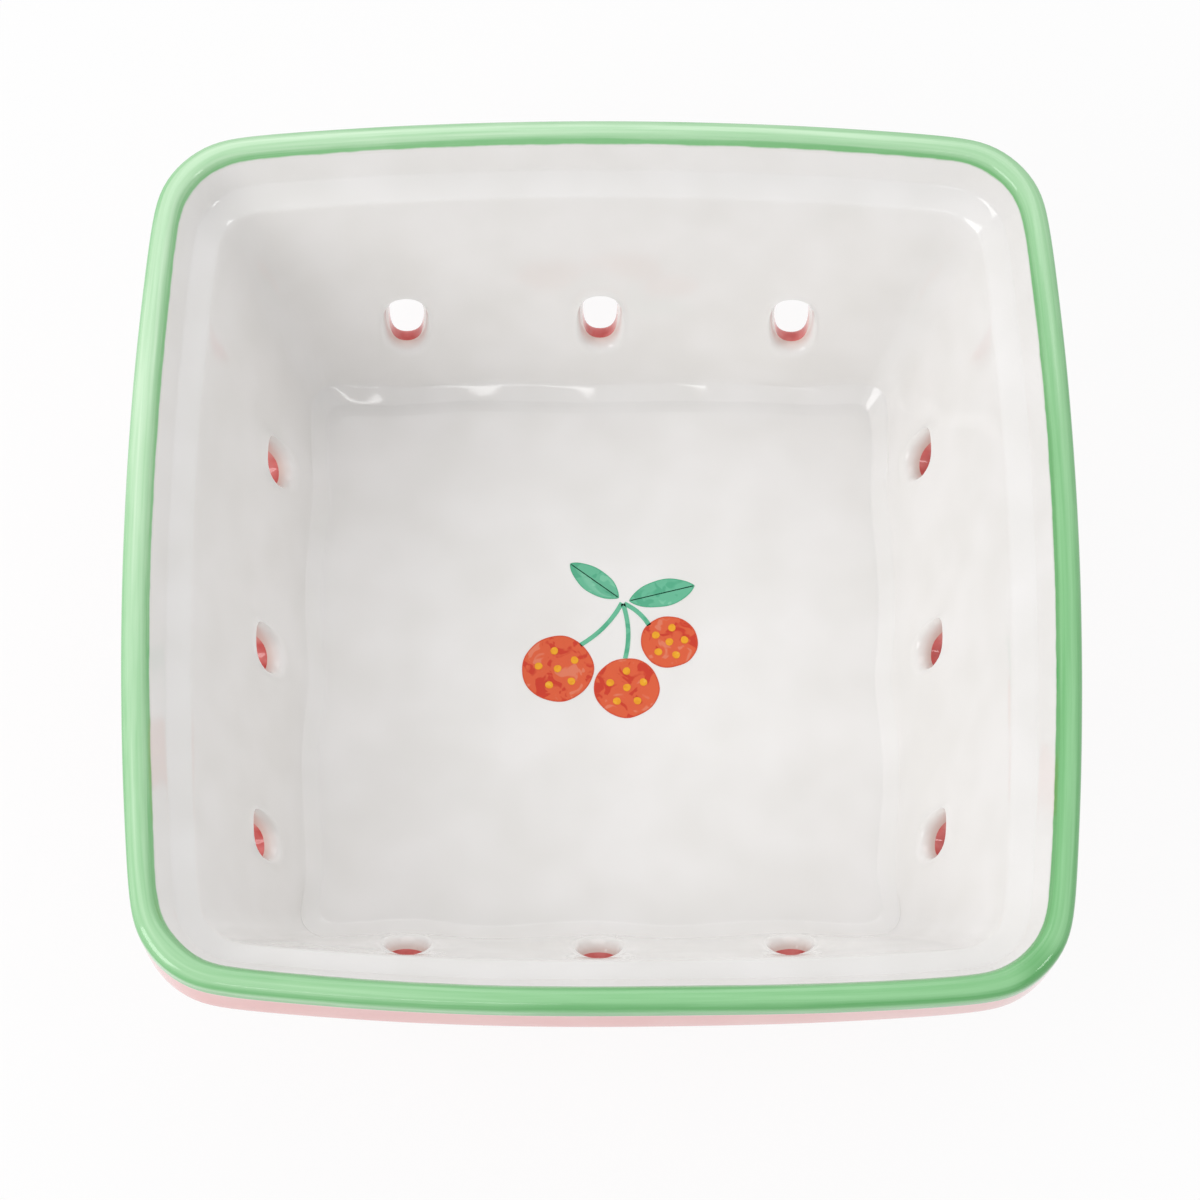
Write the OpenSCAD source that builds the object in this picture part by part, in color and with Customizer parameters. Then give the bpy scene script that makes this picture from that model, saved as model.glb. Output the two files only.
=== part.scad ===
// Berry colander bowl: a square, slip-cast stoneware dish with a collar under its lip,
// upright drain slots through its walls, a foot ring, and three colours of glaze.
// Millimetres, +Z up. The origin is on the table, under the middle of the bowl.
//
// The whole bowl is one section drawn once, as a path of corners that starts on the floor,
// climbs the inside, rolls over the lip and comes down outside to the foot. Every corner
// also says how round the bowl is in plan at that height. Each clay or glaze layer is a
// stretch of that section, lofted around the bowl between two offsets of it.

/* [Bowl] */
// Width over the glaze, between the middles of two opposite sides of the lip
rim_w = 140; // [130:1:155]
// Height from the table to the top of the lip
bowl_h = 54; // [50:1:62]
// Width of the flat floor, out to where it would meet the walls
floor_w = 90; // [80:1:94]
// Thickness of the walls, measured square to them
wall_t = 4.6; // [4:0.1:5.5]
// Thickness of the floor
floor_t = 4.6; // [4:0.1:6.5]

/* [Lip and collar] */
// Radius of the corners of the lip, in plan
rim_r = 15.2; // [13:0.1:20]
// How far the middle of a side stands out beyond its ends, at the lip
rim_bow = 2.7; // [1:0.1:4]
// Width of the lip across its top
lip_t = 3.9; // [3.4:0.1:4.4]
// Depth of the hollow ledge under the lip, inside
ledge_depth = 8.1; // [7:0.1:9.5]
// Width of that ledge
ledge_w = 3.7; // [3:0.1:4.5]
// Height of the collar, outside
collar_h = 12.4; // [11.5:0.1:15]

/* [Drain slots] */
// Width of a slot
slot_w = 5.4; // [5:0.1:6.2]
// Height of a slot, along the wall
slot_h = 9.6; // [9:0.1:10.4]
// Height of the middle of the slots above the floor
slot_up = 13.3; // [12.5:0.1:18]
// Distance between the slots of the back wall
pitch_back = 30; // [22:0.1:31]
// Distance between the slots of the front wall
pitch_front = 28.6; // [22:0.1:31]
// Distance between the slots of the two side walls
pitch_side = 30; // [22:0.1:31]
// How far the hand-punched side rows sit nearer to the front than the middle
side_row_shift = 2.8; // [0:0.1:3]
// How far both mouths of a slot are smoothed open, outwards and into the wall
slot_flare = 0.8; // [0.5:0.1:1]
// How much of the hand's unevenness the places of the slots keep
hand = 1; // [0:0.1:1.2]

/* [Foot] */
// Height of the foot ring
foot_h = 2.4; // [2:0.1:3.5]
// Width of the foot ring where it stands
foot_t = 3.6; // [3:0.1:5]
// How far the foot ring stands in from the corner of the floor and wall
foot_inset = 1; // [0:0.1:3]

/* [Glaze and print] */
// Thickness of the glaze
glaze_t = 0.4; // [0.3:0.05:0.5]
// How far the green band reaches down the inside of the lip
band_in = 1.5; // [1.4:0.1:2]
// How far the green band reaches down the outside of the lip
band_out = 2.5; // [2.4:0.1:4]
// Bare clay left above the table on both sides of the foot ring
bare_foot = 1.1; // [1:0.1:1.3]
// Thickness of the printed colours on the floor
print_t = 0.12; // [0.1:0.01:0.2]
// Diameter of the largest printed berry
berry_d = 11; // [9:0.1:11.5]
// Diameter of the yellow pips on the berries
pip_d = 1.2; // [0.8:0.1:1.5]

/* [Hidden] */

// Colours as they look in daylight
CLAY = "#d9cbb4";
WHITE = "#f1eeea";
PINK = "#e8c4c5";
GREEN = "#8ccf96";
ROSE = "#d9777a";
BERRY_RED = "#de502d";
LEAF_GREEN = "#64b991";
PIP_YELLOW = "#f0a514";

// Places in one corner of the section: half width, height, rounding of the corner in the
// section, corner radius in plan, and bow of the sides in plan
HALF = 0;
UP = 1;
ROUND = 2;
PLAN_R = 3;
BOW = 4;

// Steps of the lofts: along one side, round one corner, and the widest turn of one step
// in the section's own roundings, with a wider one where these are under small_round
side_steps = 6;
corner_steps = 6;
step_turn = 31;
small_turn = 45;
small_round = 1;

// The clay itself lies one glaze thickness under the measured outside sizes
// and heights. The top of the lip is a little narrower than the lip at its paint line.
lip_half = rim_w / 2 - glaze_t;
lip_up = bowl_h - glaze_t;
lip_slant = 0.6;
lip_in = lip_half - lip_t + 2 * glaze_t + lip_slant;
floor_up = foot_h + floor_t;
floor_half = floor_w / 2 + glaze_t;

// The ledge, and the face of the collar that rises from it and leans out to the lip
ledge_up = bowl_h - ledge_depth - glaze_t;
face_run = 2.8;
ledge_out = lip_in - face_run;
ledge_rise = 1.9;
band_in_up = bowl_h - band_in;
face_slope = (lip_in - ledge_out) / (lip_up - ledge_up - ledge_rise);

// The wall, and where its outer face starts under the collar and ends at the underside
wall_top_half = ledge_out - ledge_w;
wall_lean = atan((wall_top_half - floor_half) / (ledge_up - floor_up));
across = (wall_t - 2 * glaze_t) / cos(wall_lean);
collar_up = bowl_h - collar_h;
collar_lean = 0.8;
collar_under = 0.6;
under_wall_half = wall_top_half + across + (collar_up - ledge_up) * tan(wall_lean);
under_half = floor_half + across - floor_t * tan(wall_lean);

// The foot ring, a little wider where it leaves the underside
foot_half = floor_half - foot_inset;
foot_in = foot_half - foot_t;
foot_draft = 0.3;

// Roundings of the section
floor_round = 2.9;
ledge_round = 2.6;
hollow_round = 2;
collar_round = 2;
neck_round = 1.4;
root_round = 0.9;
foot_round = 0.5;

// The two roundings of the lip, as shares of the width of the clay across its top. Together
// they leave a narrow flat between them.
lip_in_share = 0.44;
lip_out_share = 0.6;
lip_in_round = lip_in_share * (lip_half - lip_in);
lip_out_round = lip_out_share * (lip_half - lip_in);

// The wall turns under the bowl in as large a rounding as the room beside the foot ring
// allows. A larger one would run into the root of the ring and leave a crack.
under_round_most = 4.2;
under_round_least = 0.5;
under_room = under_half - foot_half - foot_draft - root_round;
under_round_fits = under_room / tan((90 - wall_lean) / 2);
under_round = max(under_round_least, min(under_round_most, under_round_fits));

// Corner radius and bow of the outline, low down and at the ledge
low_r = 4;
low_bow = 0.4;
ledge_r = 7.5;
ledge_bow = 2.5;

// How far in from the wall and from the foot the section starts and ends. From there the
// floor and the underside are flat.
floor_start = 5;
under_end = 4;

// The section, from the floor, over the lip, to the underside. The corners without a
// rounding are where one glaze ends and the next starts.
section = [
    [floor_half - floor_start, floor_up, 0, low_r - 1, low_bow],
    [floor_half, floor_up, floor_round, low_r, low_bow],
    [wall_top_half, ledge_up, ledge_round, ledge_r, ledge_bow],
    [ledge_out, ledge_up + ledge_rise, hollow_round, ledge_r + 3, ledge_bow],
    [ledge_out + (band_in_up - ledge_up - ledge_rise) * face_slope, band_in_up, 0,
        rim_r - 2.6, rim_bow],
    [lip_in, lip_up, lip_in_round, rim_r - 2, rim_bow],
    [lip_half, lip_up, lip_out_round, rim_r, rim_bow],
    [lip_half, bowl_h - band_out, 0, rim_r, rim_bow],
    [lip_half - collar_lean, collar_up, collar_round, rim_r - 1, rim_bow],
    [under_wall_half, collar_up - collar_under, neck_round, ledge_r + wall_t, ledge_bow],
    [under_half, foot_h, under_round, low_r + wall_t, low_bow],
    [foot_half + foot_draft, foot_h, root_round, low_r, low_bow],
    [foot_half, bare_foot, 0, low_r, low_bow],
    [foot_half, 0, foot_round, low_r, low_bow],
    [foot_in, 0, foot_round, low_r - 0.6, low_bow],
    [foot_in, bare_foot, 0, low_r - 0.6, low_bow],
    [foot_in - foot_draft, foot_h, root_round, low_r - 0.6, low_bow],
    [foot_in - under_end, foot_h, 0, low_r - 1, low_bow]
];

// Corners of the section where a layer or a stretch of wall starts or ends
FLOOR = 0;
FLOOR_EDGE = 1;
BAND_INSIDE = 4;
BAND_OUTSIDE = 7;
UNDER_COLLAR = 9;
FOOT_OUTSIDE = 12;
FOOT_INSIDE = 15;
UNDERSIDE = 17;

function unit(v) = v / norm(v);
function flat2(c) = [c[HALF], c[UP]];
function left_of(v) = [-v[1], v[0]];
function turn_at(p, i) =
    let (a = unit(flat2(p[i]) - flat2(p[i - 1])), b = unit(flat2(p[i + 1]) - flat2(p[i])))
    atan2(a[0] * b[1] - a[1] * b[0], a * b);
function blend(a, b, s) = a + (b - a) * s;

// The section moved by t to its left, which is outwards from the clay
function grow(p, t) = [for (i = [0:len(p) - 1])
    let (
        a = i > 0 ? unit(flat2(p[i]) - flat2(p[i - 1])) : unit(flat2(p[1]) - flat2(p[0])),
        b = i < len(p) - 1 ? unit(flat2(p[i + 1]) - flat2(p[i])) : a,
        n = (left_of(a) + left_of(b)) / (1 + a * b) * t,
        bend = sign(a[0] * b[1] - a[1] * b[0])
    )
    [
        p[i][HALF] + n[0],
        p[i][UP] + n[1],
        p[i][ROUND] == 0 ? 0 : p[i][ROUND] - bend * t,
        p[i][PLAN_R] + n[0],
        p[i][BOW]
    ]];

// Stations along the section from corner i0 to corner i1, with each rounding as an arc
function stations(p, i0, i1) = [for (i = [i0:i1]) each
    (p[i][ROUND] == 0 || i == i0 || i == i1) ? [p[i]] : rounding(p, i)];
function rounding(p, i) =
    let (
        turn = turn_at(p, i),
        reach = p[i][ROUND] * tan(abs(turn) / 2),
        before = norm(flat2(p[i]) - flat2(p[i - 1])),
        after = norm(flat2(p[i + 1]) - flat2(p[i])),
        start = blend(p[i], p[i - 1], reach / before),
        end = blend(p[i], p[i + 1], reach / after),
        centre = flat2(start)
            + left_of(unit(flat2(p[i]) - flat2(p[i - 1]))) * sign(turn) * p[i][ROUND],
        steps = ceil(abs(turn) / (p[i][ROUND] < small_round ? small_turn : step_turn))
    )
    [for (k = [0:steps])
        let (
            at = centre + spin(flat2(start) - centre, turn * k / steps),
            mix = blend(start, end, k / steps)
        )
        [at[0], at[1], 0, mix[PLAN_R], mix[BOW]]];
function spin(v, angle) = [
    v[0] * cos(angle) - v[1] * sin(angle),
    v[0] * sin(angle) + v[1] * cos(angle)
];

// The bowl's outline at one station: four bowed sides that run into four round corners
function outline(s) =
    let (
        a = s[HALF],
        r = s[PLAN_R],
        chord = a - r,
        big = (chord * chord + s[BOW] * s[BOW]) / (2 * s[BOW]),
        b = 2 * (big - a),
        c = (sqrt(b * b - 8 * (pow(big - a, 2) - pow(big - r, 2))) - b) / 4,
        half_turn = atan2(c, c - a + big)
    )
    [for (q = [0:3]) each concat(
        [for (k = [0:side_steps])
            let (t = half_turn * (2 * k / side_steps - 1))
            quarter([a - big + big * cos(t), big * sin(t), s[UP]], q)],
        [for (k = [1:corner_steps - 1])
            let (t = half_turn + (90 - 2 * half_turn) * k / corner_steps)
            quarter([c + r * cos(t), c + r * sin(t), s[UP]], q)]
    )];
function quarter(v, q) = [
    v[0] * cos(90 * q) - v[1] * sin(90 * q),
    v[0] * sin(90 * q) + v[1] * cos(90 * q),
    v[2]
];

// One skin through a row of stations. A closed row makes a hoop, an open one gets a flat
// face across its first and its last station.
module loft(row, closed) {
    rings = [for (s = row) outline(s)];
    n = len(rings[0]);
    m = len(rings);
    last = closed ? m - 1 : m - 2;
    sides = [for (i = [0:last], j = [0:n - 1], half = [0:1])
        let (
            i2 = (i + 1) % m,
            j2 = (j + 1) % n
        )
        half == 0 ? [i * n + j, i2 * n + j2, i2 * n + j] : [i * n + j, i * n + j2, i2 * n + j2]];
    first_face = [for (j = [0:n - 1]) n - 1 - j];
    last_face = [for (j = [0:n - 1]) (m - 1) * n + j];
    polyhedron(
        points = [for (ring = rings) each ring],
        faces = closed ? sides : concat(sides, [first_face, last_face]),
        convexity = 10
    );
}

function reversed(row) = [for (i = [len(row) - 1:-1:0]) row[i]];

// Glaze on the clay, from corner i0 to corner i1 of the section. Where it runs on across
// the middle of the bowl, cap says at which of its two ends.
module glaze(i0, i1, cap = "none") {
    skin = stations(grow(section, glaze_t), i0, i1);
    clay = reversed(stations(section, i0, i1));
    loft(cap == "end" ? concat(clay, skin) : concat(skin, clay), cap == "none");
}

// The space of one upright slot, between two distances from the middle of the wall's
// thickness. Its half width follows a profile that is straight in the middle and opens out
// towards both faces of the wall. The profile is turned into the two round ends, and drawn
// straight between them.
module slot_space(grown, inwards, outwards) {
    r = slot_w / 2 + grown;
    straight = (slot_h - slot_w) / 2;
    edge = wall_t / 2 - slot_flare;
    profile = concat(
        inwards == 0 ? [[r, 0]] : [[r + inwards - edge, -inwards], [r, -edge]],
        outwards == 0 ? [[r, 0]] : [[r, edge], [r + outwards - edge, outwards]]
    );
    low = profile[0][1];
    high = profile[len(profile) - 1][1];
    for (side = [0, 180])
        rotate([0, 0, side])
            translate([0, straight, 0])
                rotate_extrude(angle = 180, $fn = 48)
                    polygon(concat([[0, low]], profile, [[0, high]]));
    rotate([90, 0, 0])
        translate([0, 0, -straight])
            linear_extrude(2 * straight)
                polygon(concat(profile, [for (p = reversed(profile)) [-p[0], p[1]]]));
}

// All the slots, square to their walls. Wall 0 is the right side, 1 the back, 2 the left
// and 3 the front. The slots were punched by eye: uneven says how far each one is from its
// even place, along the wall and up the wall.
slot_mid_up = floor_up + slot_up;
slot_mid_half = floor_half + slot_up * tan(wall_lean) + across / 2;
pitches = [pitch_side, pitch_back, pitch_side, pitch_front];
shifts = [-side_row_shift, 0, side_row_shift, 0];
uneven = [
    [[-0.6, 0.8], [0, -0.2], [1.6, -1.2]],
    [[0.1, 0], [0, 0.1], [0.2, 0.2]],
    [[-0.1, -0.8], [0.9, 0.7], [1, 1.7]],
    [[-0.2, 0], [-0.4, 0], [-0.5, 0]]
];
module slots(grown, inwards, outwards) {
    for (wall = [0:3], k = [-1:1]) {
        off = hand * uneven[wall][k + 1];
        along = k * pitches[wall] + shifts[wall] + off[0];
        half = slot_mid_half + off[1] * sin(wall_lean);
        up = slot_mid_up + off[1] * cos(wall_lean);
        rotate([0, 0, 90 * wall])
            translate([half, along, up])
                rotate([0, 90 + wall_lean, 0])
                    rotate([0, 0, 90])
                        slot_space(grown, inwards, outwards);
    }
}

// Far enough from the middle of the wall to be clear of both its faces
past_wall = 1.5;
clear = wall_t / 2 + past_wall;

// A straight stretch of wall between corner i and the next, from its glazed face to one
// wall thickness away from it. It trims the glaze that lines the slots.
module wall_band(i, away) {
    glazed = grow(section, glaze_t);
    low = rounding(glazed, i);
    high = rounding(glazed, i + 1);
    face = [low[len(low) - 1], high[0]];
    loft(concat(face, [for (s = reversed(face)) [s[0] + away, s[1], 0, s[3] + away, s[4]]]), true);
}

module clay_body() {
    color(CLAY) difference() {
        loft(stations(section, FLOOR, UNDERSIDE), false);
        slots(glaze_t, clear, clear);
    }
}

// White glaze: the whole inside, and the inner half of every slot
module inside_glaze() {
    color(WHITE) difference() {
        union() {
            glaze(FLOOR, BAND_INSIDE, cap = "start");
            intersection() {
                slots(glaze_t, clear, 0);
                wall_band(FLOOR_EDGE, wall_t);
            }
        }
        slots(0, clear, clear);
    }
}

// Pink glaze down the outside, to just above the table
module outside_glaze() {
    color(PINK) difference() {
        glaze(BAND_OUTSIDE, FOOT_OUTSIDE);
        slots(glaze_t, clear, clear);
    }
}

// Pink glaze under the floor, inside the foot ring
module base_glaze() {
    color(PINK) glaze(FOOT_INSIDE, UNDERSIDE, cap = "end");
}

// Green band brushed over the lip
module rim_glaze() {
    color(GREEN) glaze(BAND_INSIDE, BAND_OUTSIDE);
}

// Deeper pink where the outside glaze pools in the outer half of every slot
module hole_glaze() {
    color(ROSE) difference() {
        intersection() {
            slots(glaze_t, 0, clear);
            wall_band(UNDER_COLLAR, -wall_t);
        }
        slots(0, clear, clear);
    }
}

// The print: a sprig of three round berries on stalks, with two leaves, in the middle of
// the floor. A berry is its place and its size against the largest. A leaf is its place
// from the joint of the stalks, its direction, length and width.
print_up = floor_up + glaze_t;
print_at = [0, 1.6];
berries = [[-6.6, -3.4, 1], [4.1, -6.5, 0.91], [10.7, 1, 0.8]];
joint = [3.6, 7.6];
leaves = [[[0.9, 0.2], 14, 10.5, 4.6], [[-0.7, 0.7], 143, 9.5, 4.2]];
stalk_w = 0.7;
stalk_bend = 30;
stalk_gap = 0.1;
stalk_short = 0.6;
pips = 5;
pip_ring = 0.27;
pip_turn = 100;
module on_floor(level) {
    translate([print_at[0], print_at[1], print_up + level * print_t])
        linear_extrude(print_t) children();
}
module leaf_shape(length, width) {
    r = (length * length + width * width) / (4 * width);
    intersection() {
        translate([length / 2, width / 2 - r]) circle(r, $fn = 96);
        translate([length / 2, r - width / 2]) circle(r, $fn = 96);
    }
}

// A stalk from the edge of one berry to just short of the joint, bent to the left
module stalk(b) {
    start = [b[0], b[1]];
    way = joint - start;
    ahead = unit(way);
    foot = start + ahead * (berry_d * b[2] / 2 + stalk_gap);
    span = norm(joint - foot) - stalk_short;
    r = span / (2 * sin(stalk_bend / 2));
    translate([print_at[0] + foot[0], print_at[1] + foot[1], print_up])
        rotate(atan2(ahead[1], ahead[0]) - stalk_bend / 2)
            translate([0, r, 0])
                rotate(-90)
                    rotate_extrude(angle = stalk_bend, $fn = 96)
                        translate([r - stalk_w / 2, 0]) square([stalk_w, print_t]);
}

module print_berries() {
    color(BERRY_RED) for (b = berries)
        on_floor(0) translate([b[0], b[1]]) circle(d = berry_d * b[2], $fn = 48);
}

module print_leaves() {
    color(LEAF_GREEN) for (l = leaves)
        on_floor(0) translate(joint + l[0]) rotate(l[1]) leaf_shape(l[2], l[3]);
}

module print_stalks() {
    color(LEAF_GREEN) for (b = berries) stalk(b);
}

// A pip in the middle of each berry and a ring of them round it, turned differently on each
module print_pips() {
    color(PIP_YELLOW) for (b = berries, k = [0:pips])
        on_floor(1) translate([b[0], b[1]])
            rotate(360 * k / pips + pip_turn * b[2])
                translate([k == 0 ? 0 : berry_d * b[2] * pip_ring, 0])
                    circle(d = pip_d, $fn = 16);
}

clay_body();
inside_glaze();
outside_glaze();
base_glaze();
rim_glaze();
hole_glaze();
print_berries();
print_leaves();
print_stalks();
print_pips();
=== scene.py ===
# %% [markdown]
# A berry colander bowl, dressed for its picture
#
# The bowl is one piece of slip-cast stoneware: liquid clay is poured into a plaster
# mould, the slots are punched while the clay is soft, and after a first firing the
# glazes are brushed and poured on. So its beauty is all in one continuous skin that
# turns from floor to wall, over the lip and down the outside, in four colours. This
# script models that skin once, from one ring of points that is extruded again and
# again, and then cuts it into its colours.

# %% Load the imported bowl
import math

import bmesh
import bpy
from mathutils import Matrix, Vector


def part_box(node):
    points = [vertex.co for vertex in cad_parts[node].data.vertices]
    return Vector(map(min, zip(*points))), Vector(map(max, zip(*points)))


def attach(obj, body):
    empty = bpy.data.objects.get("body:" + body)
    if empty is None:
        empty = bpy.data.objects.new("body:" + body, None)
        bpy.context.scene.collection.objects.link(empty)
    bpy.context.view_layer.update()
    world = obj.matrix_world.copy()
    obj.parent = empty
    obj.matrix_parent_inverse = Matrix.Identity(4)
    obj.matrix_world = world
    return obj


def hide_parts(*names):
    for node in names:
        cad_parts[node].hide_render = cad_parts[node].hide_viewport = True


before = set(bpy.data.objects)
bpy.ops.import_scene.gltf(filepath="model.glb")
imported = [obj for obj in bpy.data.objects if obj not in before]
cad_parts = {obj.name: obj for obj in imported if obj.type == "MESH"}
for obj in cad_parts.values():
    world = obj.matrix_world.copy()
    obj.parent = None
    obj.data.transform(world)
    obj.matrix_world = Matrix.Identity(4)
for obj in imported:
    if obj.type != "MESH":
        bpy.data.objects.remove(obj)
bpy.ops.object.select_all(action="DESELECT")
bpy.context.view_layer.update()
MM = 0.001
_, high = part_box("rim_glaze")
RIM = high.x / MM
TOP = high.z / MM
print("half width", round(RIM, 2), "height", round(TOP, 2))

# %% [markdown]
# The camera
#
# The picture was taken from in front and high above, with a long lens: the far side
# of the lip is hardly smaller than the near one. The height angle, the distance and
# the lens below were fitted to the edge of the lip. The bowl stood turned by less
# than one degree, which is given to the camera, because the bowl keeps its place.

# %% Camera
SIGHT = Vector((0, 0, TOP * MM))
RISE = math.radians(68.73)
TURN, ROLL = 0.012, 0.011
DISTANCE = 0.7198
# in picture widths: the lens, and how far the picture's middle is off the line of sight
LENS = 4934 / 1200
OFF_X, OFF_Y = -1.5 / 1200, -51.4 / 1200
SENSOR_WIDTH = 36.0

flat = math.cos(RISE)
away = Vector((-math.sin(TURN) * flat, -math.cos(TURN) * flat, math.sin(RISE)))
camera_data = bpy.data.cameras.new("camera")
camera = bpy.data.objects.new("camera", camera_data)
bpy.context.collection.objects.link(camera)
camera.matrix_world = (
    Matrix.Translation(SIGHT + away * DISTANCE)
    @ away.to_track_quat("Z", "Y").to_matrix().to_4x4()
    @ Matrix.Rotation(ROLL, 4, "Z"))
camera_data.sensor_fit = "HORIZONTAL"
camera_data.sensor_width = SENSOR_WIDTH
camera_data.lens = LENS * SENSOR_WIDTH
camera_data.shift_x, camera_data.shift_y = OFF_X, OFF_Y
camera_data.clip_start = 0.01
bpy.context.scene.camera = camera
print("camera stands at", [round(v, 3) for v in camera.location])

# %% [markdown]
# The table and the light
#
# White china needs wide, soft light: any small lamp would show as a hard spot in the
# glaze. So the bowl stands as in a light tent, under a pale, even sky. A panel at the
# front left is the key, so that walls which face left are the brightest. A small one
# at the front right and a strip in front draw the bright arcs in the hollows. A wide,
# weak one in front lightens the far wall, and one behind lightens the near wall. The
# table is pale. To the camera and in reflections it is lifted to white, and it still
# darkens where the bowl shades it.

# %% Scene colours and nodes
scene = bpy.context.scene
scene.view_settings.view_transform = "Standard"


def linear(code):
    """An sRGB hex colour as the linear colour that a shader wants."""
    parts = [int(code[i:i + 2], 16) / 255 for i in (1, 3, 5)]
    return tuple(p / 12.92 if p <= 0.04045 else ((p + 0.055) / 1.055) ** 2.4 for p in parts) + (1,)


def node(tree, kind, settings=None, inputs=None):
    """Adds a node, sets what it is, and fills or links its inputs."""
    made = tree.nodes.new("ShaderNode" + kind)
    for name, value in (settings or {}).items():
        if name == "stops":
            for at, colour in value:
                made.color_ramp.elements.new(at).color = colour
            # a new ramp comes with two stops of its own, at its ends
            made.color_ramp.elements.remove(made.color_ramp.elements[-1])
            made.color_ramp.elements.remove(made.color_ramp.elements[0])
        else:
            setattr(made, name, value)
    for name, value in (inputs or {}).items():
        if isinstance(value, bpy.types.NodeSocket):
            tree.links.new(value, made.inputs[name])
        else:
            made.inputs[name].default_value = value
    return made


# %% World and lamps
SKY = 0.625
PURE_WHITE = (1, 1, 1, 1)
world = bpy.data.worlds.new("pale_studio")
world.use_nodes = True
scene.world = world
sky = world.node_tree
sky.nodes.clear()
ray = node(sky, "LightPath")
studio = node(sky, "Background", {}, {"Color": linear("#fdfdff"), "Strength": SKY})
paper = node(sky, "Background", {}, {"Color": PURE_WHITE})
shown = node(sky, "MixShader", {}, {
    "Fac": ray.outputs["Is Camera Ray"], 1: studio.outputs[0], 2: paper.outputs[0]})
node(sky, "OutputWorld", {}, {"Surface": shown.outputs[0]})

# where each panel stands, its width and height, and its watts
PANELS = {
    "key_panel": ((-0.78, -0.30, 0.62), 0.50, 0.50, 3.4),
    "right_panel": ((0.67, -0.29, 0.73), 0.16, 0.18, 0.5),
    "front_panel": ((0.0, -0.95, 0.55), 1.20, 0.90, 0.6),
    "front_strip": ((-0.16, -0.75, 0.70), 0.30, 0.05, 0.26),
    "back_panel": ((0.0, 0.75, 0.85), 1.0, 0.7, 3.2),
}
AIM = (0, 0, 0.03)


def panel(name, stand, width, height, watts):
    """A soft rectangular lamp that looks at the bowl."""
    data = bpy.data.lights.new(name, "AREA")
    data.shape = "RECTANGLE"
    data.size, data.size_y = width, height
    data.energy = watts
    lamp = bpy.data.objects.new(name, data)
    bpy.context.collection.objects.link(lamp)
    way = Vector(stand) - Vector(AIM)
    towards = way.to_track_quat("Z", "Y").to_matrix().to_4x4()
    lamp.matrix_world = Matrix.Translation(stand) @ towards


for name, values in PANELS.items():
    panel(name, *values)

# %% Table
TABLE_PAINT = "#f2f2f2"
# how much of the table's look is lifted to white
TABLE_LIFT = 0.9
bpy.ops.mesh.primitive_plane_add(size=6, location=(0, 0, 0))
table = bpy.context.object
table.name = "table"
paint = bpy.data.materials.new("matt_white_table_paint")
paint.use_nodes = True
tree = paint.node_tree
tree.nodes.clear()
ray = node(tree, "LightPath")
seen = node(tree, "Math", {"operation": "MAXIMUM"}, {
    0: ray.outputs["Is Camera Ray"], 1: ray.outputs["Is Glossy Ray"]})
matt = node(tree, "BsdfDiffuse", {}, {"Color": linear(TABLE_PAINT)})
glow = node(tree, "Emission", {}, {"Color": PURE_WHITE})
raised = node(tree, "Math", {"operation": "MULTIPLY"}, {0: seen.outputs[0], 1: TABLE_LIFT})
lifted = node(tree, "MixShader", {}, {
    "Fac": raised.outputs[0], 1: matt.outputs[0], 2: glow.outputs[0]})
node(tree, "OutputMaterial", {}, {"Surface": lifted.outputs[0]})
table.data.materials.append(paint)
print("table, sky and", len(PANELS), "panels set")

# %% [markdown]
# The glazes
#
# A glaze is a coat of glass, about 0.4 mm thick. What the eye sees is a sharp clear
# reflection over a soft colour, slow waves left by the brush and by the glaze as it
# ran in the kiln, and a colour that deepens wherever the coat pooled. The patterns
# below are sized in real millimetres.

# %% A glaze
GLASS_IOR = 1.5
# millimetres: the height and spacing of the ripples, the orange peel, a ragged brush edge
RIPPLE, RUN_MM = 0.08, 5.5
PEEL_MM = 0.9
RAGGED_MM = 4.0
WHITE = ("#edebe8", "#f2f0ee")
# the white in the slots: thin glaze over buff clay, darkened with painted shade inside the slots
THIN_SHADED_WHITE = "#e2d0c7"
PINK = ("#e8aaa7", "#ecb6b2")
SEAM = "#efe0d2"
ROSE = ("#cb5854", "#e07f7c")
PALE_ROSE = "#eaaba4"
BUFF = ("#d2c2a8", "#ddcfb8")
# what a mix node mixes, and which of its outputs has the colour
COLOURS = {"data_type": "RGBA"}
RESULT = 2


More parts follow.
